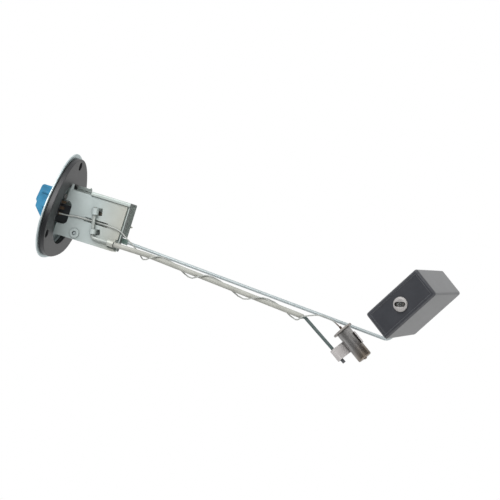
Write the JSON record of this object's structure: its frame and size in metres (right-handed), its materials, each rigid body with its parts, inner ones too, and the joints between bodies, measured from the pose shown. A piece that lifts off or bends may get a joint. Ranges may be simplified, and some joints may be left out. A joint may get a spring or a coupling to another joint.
{
  "type": "fuel level sender",
  "caption": "Round tank flange with a blue socket, a sheet-metal sensor housing, a bent float arm with a block float, and a thermistor can on a wire-wrapped rod.",
  "frame": {"origin": "centre of the gasket's tank side, where it seals on the tank", "axes": "+Z out of the tank towards the connector, +Y the float arm's pivot axis, -Y the side with the thermistor rod, +X the way the float rises"},
  "size_m": [0.0791, 0.1027, 0.2867],
  "materials": {
    "zinc": "zinc plated, satin",
    "panel_zinc": "zinc plated sheet, satin",
    "tin": "tinned, satin",
    "rubber": "matt",
    "blue_plastic": "moulded, satin",
    "dark_plastic": "moulded, matt",
    "green_nylon": "moulded, satin",
    "pale_sleeve": "thin tube, satin",
    "brass": "stamped",
    "grey_lead": "insulated wire",
    "phenolic": "board",
    "resistance_wire": "wound wire",
    "float_foam": "skinned foam block"
  },
  "bodies": {
    "sender_body": {"flange_plate": "zinc", "flange_gasket": "rubber", "connector_body": "blue_plastic", "terminal_lamp": "brass", "terminal_ground": "brass", "terminal_gauge": "brass", "terminal_insulator": "dark_plastic", "connector_rivet_1": "tin", "connector_rivet_2": "tin", "housing_rivet_1": "tin", "housing_rivet_2": "tin", "housing_tray": "panel_zinc", "front_panel": "panel_zinc", "front_bush": "zinc", "rear_bush": "zinc", "resistor_card": "phenolic", "resistor_winding": "resistance_wire", "card_eyelet_1": "brass", "card_eyelet_2": "brass", "gauge_lead": "grey_lead", "sensor_rod": "zinc", "rod_sleeve": "pale_sleeve", "thermistor_lead": "grey_lead", "thermistor_can": "tin", "can_collar": "tin", "can_pin": "brass", "sensor_clip": "zinc"},
    "float_lever": {"pivot_shaft": "zinc", "shaft_retainer": "zinc", "lever_plate": "zinc", "wiper_spring": "brass", "wiper_contact": "brass", "float_arm": "zinc", "stop_sleeve": "green_nylon", "float": "float_foam", "push_nut": "tin"}
  },
  "joints": [
    {"name": "float_arm_pivot", "type": "hinge", "parent": "sender_body", "child": "float_lever", "pos_m": [-0.011, 0, -0.0118], "axis": [0, -1, 0], "range_deg": [0, 34]}
  ]
}
